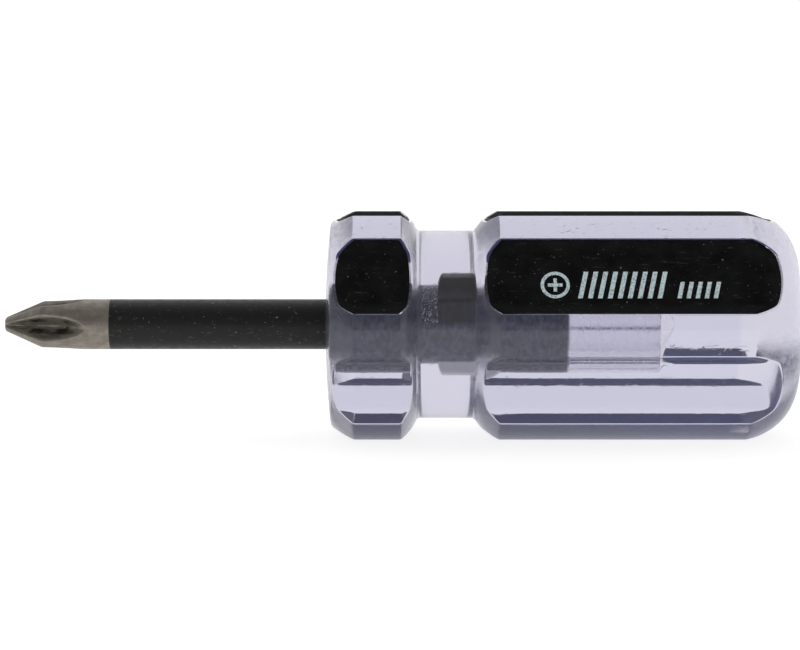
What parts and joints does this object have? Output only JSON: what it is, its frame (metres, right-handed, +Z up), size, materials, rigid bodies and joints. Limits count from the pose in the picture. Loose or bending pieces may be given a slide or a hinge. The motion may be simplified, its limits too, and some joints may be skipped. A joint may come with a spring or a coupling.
{
  "type": "screwdriver",
  "caption": "Stubby cross-point screwdriver with a clear fluted plastic handle, black flute colour and a short round black-finished blade.",
  "frame": {"origin": "middle of the overall length and width, on the plane that the tool lies on", "axes": "+X along the tool towards the butt, so the point faces -X; +Z up; the tool lies on the two edges of its lowest flute"},
  "size_m": [0.0946, 0.0284, 0.0266],
  "materials": {
    "clear_plastic": "clear, faintly lilac cellulose plastic, polished",
    "blade_steel": "black finish, bare at the point",
    "black_colour": "glossy black colour layer"
  },
  "bodies": {
    "root": {"handle": "clear_plastic", "blade": "blade_steel", "grip_inlay_front": "black_colour", "grip_inlay_top": "black_colour", "grip_inlay_back": "black_colour", "collar_inlay_front": "black_colour", "collar_inlay_top": "black_colour", "collar_inlay_back": "black_colour"}
  },
  "joints": []
}
